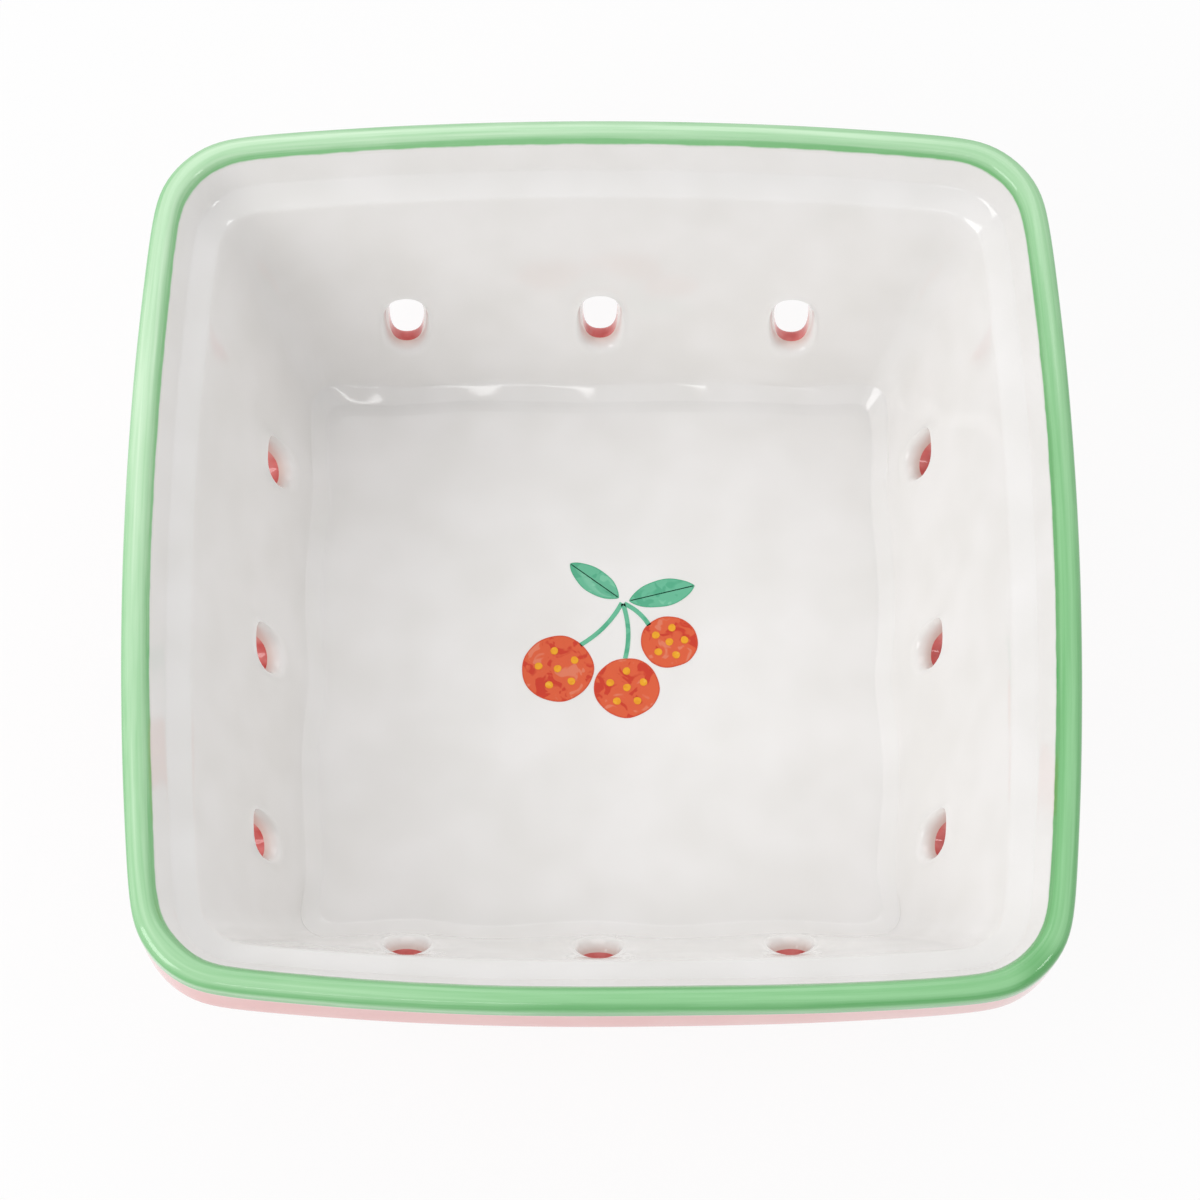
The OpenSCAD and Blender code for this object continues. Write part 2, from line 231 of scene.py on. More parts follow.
def glaze(name, tones, roughness=0.07, wave_mm=9.0, wave_height_mm=0.03, grain_height_mm=0.002):
    """A glossy coat: two tones in slow waves, fine orange peel, and ripples where it pooled.

    Also gives its tree, its colour input, the place on the object and the mixed tones.
    """
    material = bpy.data.materials.new(name)
    material.use_nodes = True
    tree = material.node_tree
    tree.nodes.clear()
    coords = node(tree, "TexCoord").outputs["Object"]
    waves, runs, peel = (
        node(tree, "TexNoise", {}, {
            "Vector": coords, "Scale": 1000 / size, "Detail": detail, "Roughness": rough})
        for size, detail, rough in ((wave_mm, 1.0, 0.4), (RUN_MM, 0.5, 0.3), (PEEL_MM, 2.0, 0.4)))
    pool = node(tree, "Attribute", {"attribute_name": "pool"})
    ripples = node(tree, "Math", {"operation": "MULTIPLY"}, {
        0: runs.outputs["Fac"], 1: pool.outputs["Fac"]})
    relief = {}
    for height, shape in (
            (wave_height_mm, waves.outputs["Fac"]), (RIPPLE, ripples.outputs[0]),
            (grain_height_mm, peel.outputs["Fac"])):
        bump = node(tree, "Bump", {}, {"Distance": height * MM, "Height": shape, **relief})
        relief = {"Normal": bump.outputs["Normal"]}
    share = node(tree, "MapRange", {}, {
        "Value": waves.outputs["Fac"], "From Min": 0.3, "From Max": 0.7})
    tone = node(tree, "Mix", COLOURS, {
        0: share.outputs[0], 6: linear(tones[0]), 7: linear(tones[1])})
    shader = node(tree, "BsdfPrincipled", {}, {
        "Base Color": tone.outputs[RESULT], "Roughness": roughness, "IOR": GLASS_IOR, **relief})
    node(tree, "OutputMaterial", {}, {"Surface": shader.outputs[0]})
    return material, tree, shader.inputs["Base Color"], coords, tone.outputs[RESULT]


def uneven_edge(tree, coords, name, low, high, wander, size_mm=RAGGED_MM, detail=2.0):
    """From 0 where an attribute is low to 1 where it is high, along a line that wanders."""
    level = node(tree, "Attribute", {"attribute_name": name})
    ragged = node(tree, "TexNoise", {}, {
        "Vector": coords, "Scale": 1000 / size_mm, "Detail": detail})
    frayed = node(tree, "Math", {"operation": "MULTIPLY_ADD"}, {
        0: ragged.outputs["Fac"], 1: wander, 2: level.outputs["Fac"]})
    return node(tree, "MapRange", {}, {
        "Value": frayed.outputs[0], "From Min": low, "From Max": high}).outputs[0]


# %% White liner glaze
# thin in the slots, where the buff clay shows through, and darker there as painted shade inside
# the slots
white_glaze, tree, colour, _, white = glaze("white_liner_glaze", WHITE)
thin_glaze_and_shade = node(tree, "Attribute", {"attribute_name": "thin_glaze_and_shade"})
finished = node(tree, "Mix", COLOURS, {0: thin_glaze_and_shade.outputs["Fac"], 6: white, 7: linear(THIN_SHADED_WHITE)})
tree.links.new(finished.outputs[RESULT], colour)

# %% Pink outside glaze
# a pale seam runs under the green band, where neither colour covers the white clay slip
pink_glaze, tree, colour, coords, pink = glaze("pink_poured_glaze", PINK)
# the band's outer edge is where "across" is 1
seam = uneven_edge(tree, coords, "across", 1.0, 1.02, wander=-0.05)
finished = node(tree, "Mix", COLOURS, {0: seam, 6: linear(SEAM), 7: pink})
tree.links.new(finished.outputs[RESULT], colour)

# %% Rose, where the pink glaze pooled in the slots
# it ran down before it froze, so it is deep at the bottom of a slot and pale above
rose_glaze, tree, colour, coords, rose = glaze(
    "rose_pooled_glaze", ROSE, roughness=0.05, wave_mm=3.0)
deep = uneven_edge(tree, coords, "deep", 0.80, 1.14, wander=0.3, size_mm=2.0, detail=1.0)
finished = node(tree, "Mix", COLOURS, {0: deep, 6: linear(PALE_ROSE), 7: rose})
tree.links.new(finished.outputs[RESULT], colour)

# %% Bare stoneware
# fired clay without glass on it: dull, sandy to the touch, buff with darker grog
stoneware = glaze(
    "bare_buff_stoneware", BUFF, roughness=0.75, wave_mm=2.0, wave_height_mm=0.02,
    grain_height_mm=0.03)[0]
print(len(bpy.data.materials), "materials so far")

# %% [markdown]
# The green band
#
# The band was brushed round the lip in one stroke while the bowl turned. So its
# streaks run along the lip, and it is darker along both edges, where the colour gathered.
# It is lighter in the middle, partly where the brush pressed the colour away and partly as
# a painted highlight along the top of the lip, and paler towards the far left as painted
# light from the key lamp. The streaks read how far a point lies across the band, which
# the mesh carries as an attribute from 0 inside to 1 outside, and only very slowly where
# it is along the lip. The edge of a brush stroke wanders a little, so the white under it
# shows by a noise of 4 mm.

# %% Tones of the band
# stops across the band: place, and how much of the dark tone
# dark at both edges where the colour gathered, lightest in the middle on the top of the lip as a
# painted highlight
BAND_POOLING_AND_SHEEN = ((0.02, 1.0), (0.09, 0.8), (0.18, 0.4), (0.34, 0.2), (0.47, 0.0), (0.58, 0.15),
        (0.68, 0.6), (0.76, 0.9), (0.83, 0.5), (0.89, 0.2), (0.95, 0.3), (0.985, 1.0))
GREEN = ("#9ed89f", "#66b06a")
# painted light: the band is paler towards the far left, where the key lamp lights it most
LIT_LEFT_GREEN = ("#d7f4d3", "#88c98b")
LIT_HALF_SPAN = 0.07
# the brush stroke ended at the near right corner, over its own beginning
OVERLAP_AT = (0.0628, -0.0640, 0.0520)
OVERLAP_SPAN = 0.0060
# how much darkness the streaks, the overlap and the lines bring; between the lines lies the
# painted highlight along the middle
STREAKS, OVERLAP, LINES = 0.5, 0.8, 0.85
# how often a streak changes along the lip, for each metre, and across the band
ALONG, ACROSS = 25.0, 7.0
# how far the lines wander across the band, and over which length in millimetres
LINE_WANDER, LINE_WANDER_MM = 0.10, 9.0

# %% Streaks along the band
green_glaze, tree, colour, coords, _ = glaze("green_brushed_glaze", GREEN, wave_mm=14.0)
reach = node(tree, "Attribute", {"attribute_name": "across"}).outputs["Fac"]
spread = node(tree, "SeparateXYZ", {}, {"Vector": coords})
squeezed = [
    node(tree, "Math", {"operation": "MULTIPLY"}, {0: value, 1: times}).outputs[0]
    for value, times in (
        (spread.outputs["X"], ALONG), (spread.outputs["Y"], ALONG), (reach, ACROSS))]
stretch = node(tree, "CombineXYZ", {}, dict(zip("XYZ", squeezed)))
streaks = node(tree, "TexNoise", {}, {
    "Vector": stretch.outputs[0], "Scale": 1.0, "Detail": 3.0, "Roughness": 0.6})
patchy = node(tree, "MapRange", {}, {
    "Value": streaks.outputs["Fac"], "From Min": 0.3, "From Max": 0.7, "To Max": STREAKS})
twice = node(tree, "VectorMath", {"operation": "DISTANCE"}, {0: coords, 1: OVERLAP_AT})
overlap = node(tree, "MapRange", {"interpolation_type": "SMOOTHSTEP"}, {
    "Value": twice.outputs["Value"], "From Max": OVERLAP_SPAN, "To Min": OVERLAP, "To Max": 0.0})
patches = node(tree, "Math", {"operation": "ADD"}, {0: patchy.outputs[0], 1: overlap.outputs[0]})

# the dark lines along the band's edges, with the painted highlight between them, which wander with
# the hand
hand = node(tree, "TexNoise", {}, {
    "Vector": coords, "Scale": 1000 / LINE_WANDER_MM, "Detail": 2.0})
centred = node(tree, "Math", {"operation": "SUBTRACT"}, {0: hand.outputs["Fac"], 1: 0.5})
wander = node(tree, "Math", {"operation": "MULTIPLY_ADD"}, {
    0: centred.outputs[0], 1: LINE_WANDER, 2: reach})
pooling_and_sheen = node(tree, "ValToRGB", {"stops": [(at, (dark, dark, dark, 1)) for at, dark in BAND_POOLING_AND_SHEEN]}, {
    "Fac": wander.outputs[0]})
darkness = node(tree, "Math", {"operation": "MULTIPLY_ADD"}, {
    0: pooling_and_sheen.outputs["Color"], 1: LINES, 2: patches.outputs[0]})

# %% Colour of the band
# painted light: how much paler the band is, from the lit far left corner to the near right one
aslant = node(tree, "Math", {"operation": "SUBTRACT"}, {
    0: spread.outputs["Y"], 1: spread.outputs["X"]})
lit_left = node(tree, "MapRange", {}, {
    "Value": aslant.outputs[0], "From Min": -LIT_HALF_SPAN, "From Max": LIT_HALF_SPAN})
light, full = (
    node(tree, "Mix", COLOURS, {0: lit_left.outputs[0], 6: linear(base_tone), 7: linear(lit_tone)})
    for base_tone, lit_tone in zip(GREEN, LIT_LEFT_GREEN))
green = node(tree, "Mix", COLOURS, {
    0: darkness.outputs[0], 6: light.outputs[RESULT], 7: full.outputs[RESULT]})

# the white under the ragged inner edge, which is where "across" is 0
covered = uneven_edge(tree, coords, "across", 0.0, 0.02, wander=-0.03)
finished = node(tree, "Mix", COLOURS, {
    0: covered, 6: linear(WHITE[0]), 7: green.outputs[RESULT]})
tree.links.new(finished.outputs[RESULT], colour)
print(green_glaze.name, "has", len(tree.nodes), "nodes")

# %% [markdown]
# The section
#
# The whole bowl is one path of corners, from the floor over the lip to the foot. Each
# corner says how far from the middle it is, how high, how round it is in the section,
# how round the bowl's corners are in plan there, and how far the middles of its sides
# stand out. The roundings become short arcs, so that three or four rings carry each.

# %% Section
WALL = 4.6
GLAZE = 0.4
FLOOR_UP = 7.4
BARE = 1.1
SECTION = [
    # half width, height, rounding, plan corner, bow, name of what starts here
    (41.4, FLOOR_UP, 0.0, 3.0, 0.4, "inside"),
    (43.3, FLOOR_UP, 0.9, 3.2, 0.4, ""),
    (45.8, 9.1, 1.3, 3.9, 0.5, ""),
    (60.3, 45.8, 2.4, 7.4, 2.5, ""),
    (63.9, 48.0, 1.8, 10.2, 2.5, ""),
    (66.25, TOP - 1.45, 0.0, 12.6, 2.7, "rim"),
    (66.85, TOP, 1.4, 12.9, 2.7, ""),
    (RIM, TOP, 1.9, 15.4, 2.7, ""),
    (RIM, TOP - 2.5, 0.0, 15.4, 2.7, "outside"),
    (RIM - 0.8, 41.2, 2.4, 14.4, 2.7, ""),
    (63.4, 40.6, 1.2, 12.4, 2.5, ""),
    (47.9, 2.0, 3.4, 8.8, 0.4, ""),
    (45.0, 2.0, 0.5, 4.3, 0.4, ""),
    (44.4, BARE, 0.0, 4.3, 0.4, "foot"),
    (44.4, 0.0, 0.5, 4.3, 0.4, ""),
    (40.8, 0.0, 0.5, 3.4, 0.4, ""),
    (40.8, BARE, 0.0, 3.4, 0.4, "base"),
    (40.2, 2.0, 0.5, 3.1, 0.4, ""),
    (37.0, 2.0, 0.0, 3.0, 0.4, ""),
]
INNER_WALL, OUTER_WALL = 3, 11
LEAN = math.atan2(*(SECTION[INNER_WALL][k] - SECTION[INNER_WALL - 1][k] for k in (0, 1)))
# the ways up and into the bowl on the right wall
UP_WALL = Vector((math.sin(LEAN), 0, math.cos(LEAN)))
INTO_BOWL = Vector((-math.cos(LEAN), 0, math.sin(LEAN)))
# the most that one face of a rounding turns
STEP = math.radians(31)
print("the walls lean", round(math.degrees(LEAN), 1), "degrees")

# %% From corners to rings
# how far each rounding reaches back from its corner, to see that no two run into each other
REACHES = {}


def proud(turn):
    """How much further out a ring's points stand, because subdividing draws them in."""
    return 3 / (2 + math.cos(turn))


def between(a, b, share):
    """A ring partly on the way from one corner of the section to another."""
    return [a[k] + (b[k] - a[k]) * share for k in (0, 1, 3, 4)]


def arc_rings(index):
    """The rings that carry one rounded corner."""
    before, corner, after = SECTION[index - 1:index + 2]
    a = Vector((corner[0] - before[0], corner[1] - before[1]))
    b = Vector((after[0] - corner[0], after[1] - corner[1]))
    turn = math.atan2(a.x * b.y - a.y * b.x, a.dot(b))
    reach = corner[2] * math.tan(abs(turn) / 2)
    REACHES[index] = reach
    start = between(corner, before, reach / a.length)
    end = between(corner, after, reach / b.length)
    side = math.copysign(corner[2], turn)
    middle = Vector(start[:2]) + Vector((-a.y, a.x)).normalized() * side
    count = math.ceil(abs(turn) / STEP)
    rings = []
    for k in range(count + 1):
        arm = Matrix.Rotation(turn * k / count, 2) @ (Vector(start[:2]) - middle)
        place = middle + arm * (proud(turn / count) if 0 < k < count else 1)
        mix = [start[n] + (end[n] - start[n]) * k / count for n in (2, 3)]
        rings.append([place.x, place.y] + mix)
    return rings


def at_height(a, b, up):
    """The ring of a straight stretch between two others, at a height."""
    return [a[k] + (b[k] - a[k]) * (up - a[1]) / (b[1] - a[1]) for k in range(4)]


# %% All rings
# the middle of a slot in the section, and half the width and height of its block of faces
SLOT_MIDDLE = (52.70, 20.3)
SLOT_BLOCK = (4.8, 8.4)
inner_up = SLOT_MIDDLE[1] + WALL / 2 * math.sin(LEAN)
outer_up = SLOT_MIDDLE[1] - WALL / 2 * math.sin(LEAN)
block_up = SLOT_BLOCK[1] * math.cos(LEAN)
SLOT_ROWS = {
    INNER_WALL: [inner_up - block_up, inner_up, inner_up + block_up],
    OUTER_WALL: [outer_up + block_up, outer_up, outer_up - block_up]}

rings, region = [], ""
for index, corner in enumerate(SECTION):
    region = corner[5] or region
    new = arc_rings(index) if corner[2] else [[corner[0], corner[1], corner[3], corner[4]]]
    # extra rings on the two walls, at the heights that the slots need
    extra = [at_height(rings[-1][0], new[0], up) for up in SLOT_ROWS.get(index, ())]
    rings += [(ring, region) for ring in extra + new]

spare = [math.dist(a[:2], b[:2]) - REACHES.get(n, 0) - REACHES.get(n + 1, 0)
         for n, (a, b) in enumerate(zip(SECTION, SECTION[1:]))]
print("least straight stretch between two roundings:", round(min(spare), 2), "mm")

# how far each ring lies across the green band: 0 at its inner edge, 1 at its outer edge
run = [0.0]
for (a, _), (b, _) in zip(rings, rings[1:]):
    run.append(run[-1] + math.dist(a[:2], b[:2]))
RIM_START, RIM_END = ([ring[1] for ring in rings].index(name) for name in ("rim", "outside"))
BAND_WIDTH = run[RIM_END] - run[RIM_START]
across_band = [(r - run[RIM_START]) / BAND_WIDTH for r in run]
print(len(rings), "rings, the section is", round(run[-1] - run[0], 1), "mm long, the green band",
      round(BAND_WIDTH, 1))

# %% Where the glaze pooled
# in the hollow round the floor, on the rings wider than this and between these heights
HOLLOW_HALF, HOLLOW_LOW, HOLLOW_HIGH = 43.0, 7.0, 9.4
POOLED = {row for row, (ring, _) in enumerate(rings)
          if ring[0] > HOLLOW_HALF and HOLLOW_LOW < ring[1] < HOLLOW_HIGH}
# the wet bowl stood tipped back a little, so less glaze pooled in front
POOL, POOL_TIP = 0.6, 0.4
print("the glaze pooled on", len(POOLED), "rings")

# %% [markdown]
# Round the bowl
#
# Each ring has eighty points. Seventeen of them stand along each side, three under
# each slot, and three more carry each corner. Along a slot they never drift, so the
# slots stay upright between two straight columns while the walls lean outwards.

# %% A ring of the bowl
# for the right, back, left and front wall: how far the slots stand apart, and how far their
# row is shifted, because the side rows were punched nearer to the front than the middle
PITCH = (30.0, 30.0, 30.0, 28.6)
SHIFT = (-2.8, 0.0, 2.8, 0.0)
# how far each slot is from its even place, along the wall and up the wall
UNEVEN = (((-0.6, 0.8), (0.0, -0.2), (1.6, -1.2)), ((0.1, 0.0), (0.0, 0.1), (0.2, 0.2)),
          ((-0.1, -0.8), (0.9, 0.7), (1.0, 1.7)), ((-0.2, 0.0), (-0.4, 0.0), (-0.5, 0.0)))
SIDE_POINTS = 17
CORNER_SPANS = 4
QUARTER = SIDE_POINTS + CORNER_SPANS - 1
COLUMNS = 4 * QUARTER
# the least room between the outermost slot and the end of the straight side
END_ROOM = 1.4


def facing(wall):
    """The turn that takes the right wall to one of the four walls."""
    return Matrix.Rotation(math.pi / 2 * wall, 3, "Z")


def slot_at(wall, k):
    """Distance of a slot from the middle of its wall: k is -1, 0 or 1."""
    return PITCH[wall] * k + SHIFT[wall] + UNEVEN[wall][k + 1][0]


def along(wall, index, end):
    """Distance of a side's point from the middle of the side."""
    marks = []
    for k in (-1, 0, 1):
        marks += [slot_at(wall, k) + d for d in (-SLOT_BLOCK[0], 0, SLOT_BLOCK[0])]
    gaps = [[marks[n] + (marks[n + 1] - marks[n]) * t for t in (1 / 3, 2 / 3)] for n in (2, 5)]
    marks = marks[:3] + gaps[0] + marks[3:6] + gaps[1] + marks[6:]
    squeeze = min(1.0, (end - END_ROOM) / max(-marks[0], marks[-1]))
    marks = [m * squeeze for m in marks]
    marks = [-end, (marks[0] - end) / 2] + marks + [(marks[-1] + end) / 2, end]
    return marks[index]


def side_radius(half, corner, bow):
    """The radius of a ring's bowed side."""
    return ((half - corner) ** 2 + bow ** 2) / (2 * bow)


def spot(column, ring):
    """Where one point of a ring stands, in millimetres."""
    half, up, corner, bow = ring
    wall, index = divmod(column, QUARTER)
    big = side_radius(half, corner, bow)
    # the middle of the corner's arc, which touches the arcs of both sides
    b = 2 * (big - half)
    c = (math.sqrt(b * b - 8 * ((big - half) ** 2 - (big - corner) ** 2)) - b) / 4
    bend = math.atan2(c, c - half + big)
    if index < SIDE_POINTS:
        y = along(wall, index, big * math.sin(bend))
        x = half - big + math.sqrt(big * big - y * y)
    else:
        step = (math.pi / 2 - 2 * bend) / CORNER_SPANS
        turn = bend + step * (index - SIDE_POINTS + 1)
        arm = corner * proud(step)
        x, y = c + arm * math.cos(turn), c + arm * math.sin(turn)
    return facing(wall) @ Vector((x, y, up))


# %% The first ring, at the edge of the floor
FINISHES = ["inside", "rim", "outside", "foot", "base", "hole"]
bpy.ops.mesh.primitive_circle_add(
    vertices=COLUMNS, radius=SECTION[0][0] * MM, location=(0, 0, FLOOR_UP * MM))
bowl = bpy.context.object
bowl.name = "bowl_skin"
bpy.ops.object.transform_apply(location=True, rotation=True, scale=True)
for finish in (white_glaze, green_glaze, pink_glaze, stoneware, pink_glaze, rose_glaze):
    bowl.data.materials.append(finish)
for name in ("column", "row"):
    bowl.data.attributes.new(name, "INT", "POINT")
for name in ("across", "pool", "thin_glaze_and_shade", "deep"):
    bowl.data.attributes.new(name, "FLOAT", "POINT")
bpy.ops.object.mode_set(mode="EDIT")
bpy.ops.mesh.select_all(action="SELECT")


def open_skin():
    """The skin's mesh in edit mode, and the layers that hold its points' columns and rows."""
    shape = bmesh.from_edit_mesh(bowl.data)
    return shape, shape.verts.layers.int["column"], shape.verts.layers.int["row"]


def settle(row):
    """Puts the selected points on a ring, and gives the faces behind them its finish."""
    shape, column, row_layer = open_skin()
    across, pool = (shape.verts.layers.float[name] for name in ("across", "pool"))
    ring, _ = rings[row]
    finish = FINISHES.index(rings[max(0, row - 1)][1])
    for v in [v for v in shape.verts if v.select]:
        v.co = spot(v[column], ring) * MM
        v[row_layer] = row
        v[across] = across_band[row]
        v[pool] = POOL + POOL_TIP * v.co.y / MM / ring[0] if row in POOLED else 0.0
        for f in v.link_faces:
            f.material_index = finish
    bmesh.update_edit_mesh(bowl.data)


shape, column, _ = open_skin()
first_turn = -math.pi / 4 + math.pi / 4 / QUARTER
turned = sorted(
    shape.verts, key=lambda v: (math.atan2(v.co.y, v.co.x) - first_turn) % (2 * math.pi))
for k, v in enumerate(turned):
    v[column] = k
bmesh.update_edit_mesh(bowl.data)
settle(0)

# %% Up the inside, over the lip and down to the foot
for row in range(1, len(rings)):
    bpy.ops.mesh.extrude_region_move(TRANSFORM_OT_translate={"value": (0, 0, MM)})
    settle(row)


def select_ring(row):
    """Selects the points and edges of one ring, and starts at the middle of a corner."""
    bpy.ops.mesh.select_all(action="DESELECT")
    shape, column, row_layer = open_skin()
    shape.select_history.clear()
    for v in shape.verts:
        v.select = v[row_layer] == row
    shape.select_flush(True)
    for e in shape.edges:
        e.select = all(v[row_layer] == row for v in e.verts)
    first = next(v for v in shape.verts
                 if v[row_layer] == row and v[column] == QUARTER - CORNER_SPANS // 2)
    shape.select_history.add(first)
    bmesh.update_edit_mesh(bowl.data)


# %% The flat floor and the flat underside
bpy.ops.mesh.select_mode(type="VERT")
for row, finish in ((0, "inside"), (len(rings) - 1, "base")):
    select_ring(row)
    bpy.ops.mesh.fill_grid(span=QUARTER)
    shape, column, row_layer = open_skin()
    across = shape.verts.layers.float["across"]
    for f in shape.faces:
        if f.select:
            f.material_index = FINISHES.index(finish)
            for v in f.verts:
                if all(g.select for g in v.link_faces):
                    v[row_layer], v[column] = -1, -1
                    v[across] = across_band[row]
    bmesh.update_edit_mesh(bowl.data)
shape = bmesh.from_edit_mesh(bowl.data)
print(len(shape.faces), "faces, open edges:", sum(e.is_boundary for e in shape.edges))

# %% [markdown]
# The drain slots
#
# A hollow punch cuts each slot while the clay is leather hard, and a wet finger or a
# sponge rounds its edges. In the mesh each slot is a block of four faces on the inner
# wall and four on the outer. Both are inset twice, opened, and bridged through the
# wall. The outer inset stays on the wall as a ring that keeps the mouth's edge tight.

# %% Mouths of the slots
# share of the way through the wall, half width of the slot there, its reach down and up
SLOT_PROFILE = [
    (0.00, 3.65, 6.20, 5.35), (0.08, 3.15, 5.50, 5.05), (0.26, 2.88, 4.98, 4.90),
    (0.58, 2.75, 4.82, 4.82), (0.78, 2.62, 4.74, 4.74), (0.94, 2.68, 4.84, 4.84),
    (1.00, 3.05, 5.25, 5.25)]
LAST = len(SLOT_PROFILE) - 1
# which row is moved to where the white glaze meets the pink, and how far through the right,
# back, left and front wall that is
MEETING_ROW = 3
MEETS = (0.48, 0.41, 0.48, 0.39)
# the sponge didn't reach the mouths' upper edges, so they are sharp, and the glaze drew
# itself up to a bead there, this high
LIP_CREASE = 0.6
BEAD = 0.36
# the ring round each mouth: how far outside its edge it lies sideways, below and above
TIGHT = {0: (0.55, 1.10, 0.50), LAST: (0.55, 0.60, 0.60)}
INSET_MM = 0.7
# how much further the back slots were opened: upwards inside, downwards outside
OPENED = (0.0, 0.5, 0.0, 0.0)
# a mouth has eight points: its corners are drawn in and the four between them pushed out,
# so that it becomes a slot with round ends when it is subdivided
SQUARE, BEYOND = 0.885, 1.058
SLOT_COLUMNS = (3, 8, 13)
ups = [round(ring[0][1], 4) for ring in rings]
FIRST_ROW = {wall: ups.index(round(SLOT_ROWS[wall][0], 4)) for wall in (INNER_WALL, OUTER_WALL)}


def wall_spot(wall, side, up, face):
    """A point on the inner or the outer face of a wall, at a place along it and a height."""
    first = FIRST_ROW[face]
    half, _, corner, bow = at_height(rings[first][0], rings[first + 2][0], up)
    big = side_radius(half, corner, bow)
    x = half - big + math.sqrt(big * big - side * side)
    return facing(wall) @ Vector((x, side, up))


def bead_share(v):
    """How far the bead stands into the bowl, from -1 below a slot to 1 above it."""
    return BEAD / WALL * (1 + v) / 2


def slot_point(wall, k, level, u, v, wider=(0, 0, 0)):
    """A point of a slot's lining, u across and v up the slot, both from -1 to 1."""
    share, wide, down, up = SLOT_PROFILE[level]
    share = MEETS[wall] if level == MEETING_ROW else share
    down, up = down + OPENED[wall] * share, up + OPENED[wall] * (1 - share)
    wide, down, up = wide + wider[0], down + wider[1], up + wider[2]
    if level == 0 and not any(wider):
        share -= bead_share(v)
    reach = SQUARE if u and v else BEYOND
    side = slot_at(wall, k) + u * wide * reach
    middle = (up - down) / 2
    rise = (UNEVEN[wall][k + 1][1] + middle + v * (up - middle) * reach) * math.cos(LEAN)
    inner = wall_spot(wall, side, inner_up + rise, INNER_WALL)
    outer = wall_spot(wall, side, outer_up + rise, OUTER_WALL)
    return inner.lerp(outer, share)


bpy.ops.mesh.select_mode(type="FACE")
bpy.ops.mesh.select_all(action="DESELECT")
shape, column, row_layer = open_skin()
slot_columns = {QUARTER * wall + n for wall in range(4) for n in SLOT_COLUMNS}
slot_rows = {first + 1 for first in FIRST_ROW.values()}
for v in shape.verts:
    if v[column] in slot_columns and v[row_layer] in slot_rows:
        for f in v.link_faces:
            f.select = True
bmesh.update_edit_mesh(bowl.data)
for _ in range(2):
    bpy.ops.mesh.inset(thickness=INSET_MM * MM)
bpy.ops.mesh.delete(type="FACE")
shape = bmesh.from_edit_mesh(bowl.data)
print("open edges round the mouths:", sum(e.is_boundary for e in shape.edges))

# %% The edges of a slot
# farther than any point of a slot's own mouths, nearer than the next slot
NEAR_SLOT = 12.0
# the crease runs along the mouth from its middle upwards, and this is just below that middle
CREASE_ABOVE = -1.5


def slot_frame(wall, k):
    """A slot's middle on both faces and between them, and the ways across it and up it."""
    rise = UNEVEN[wall][k + 1][1] * math.cos(LEAN)
    inner = wall_spot(wall, slot_at(wall, k), inner_up + rise, INNER_WALL)
    outer = wall_spot(wall, slot_at(wall, k), outer_up + rise, OUTER_WALL)
    turn = facing(wall)
    return inner, outer, (inner + outer) / 2, turn @ Vector((0, 1, 0)), turn @ UP_WALL


def sign(value, limit=0.6):
    """-1, 0 or 1: on which side of a slot's middle a distance lies, or 0 near the middle."""
    return 0 if abs(value) < limit else int(math.copysign(1, value))


def shape_mouths(wall, k):
    """Selects the two mouths of a slot and puts them, and the rings round them, in place."""
    inner, outer, middle, sideways, upwards = slot_frame(wall, k)

    def is_inner(v):
        return (v.co / MM - inner).length < (v.co / MM - outer).length

    # the mouths still stand in their even rows here, so the slot's own lift is counted out
    lift = UNEVEN[wall][k + 1][1]
    bpy.ops.mesh.select_all(action="DESELECT")
    shape = bmesh.from_edit_mesh(bowl.data)
    for e in shape.edges:
        if e.is_boundary and (e.verts[0].co / MM - middle).length < NEAR_SLOT:
            e.select = True
    mouths = {v for e in shape.edges if e.select for v in e.verts}
    moves = []
    for v in mouths:
        away = v.co / MM - middle + upwards * lift
        end = 0 if is_inner(v) else LAST
        place = wall, k, end, sign(away.dot(sideways)), sign(away.dot(upwards))
        behind = next(e.other_vert(v) for e in v.link_edges if e.other_vert(v) not in mouths)
        moves += [(v, slot_point(*place)), (behind, slot_point(*place, TIGHT[end]))]
    for v, target in moves:
        v.co = target * MM
    layers = shape.edges.layers.float
    crease = layers.get("crease_edge") or layers.new("crease_edge")
    for e in shape.edges:
        above = all((v.co / MM - middle).dot(upwards) > CREASE_ABOVE for v in e.verts)
        if e.select and above and all(is_inner(v) for v in e.verts):
            e[crease] = LIP_CREASE
    bmesh.update_edit_mesh(bowl.data)


# %% Through the wall
# at which row of the lining the white glaze starts to thin and to darken with painted shade, and
# over how many rows it does
THIN_SHADE_FROM, THIN_SHADE_OVER = 1.5, 1.5


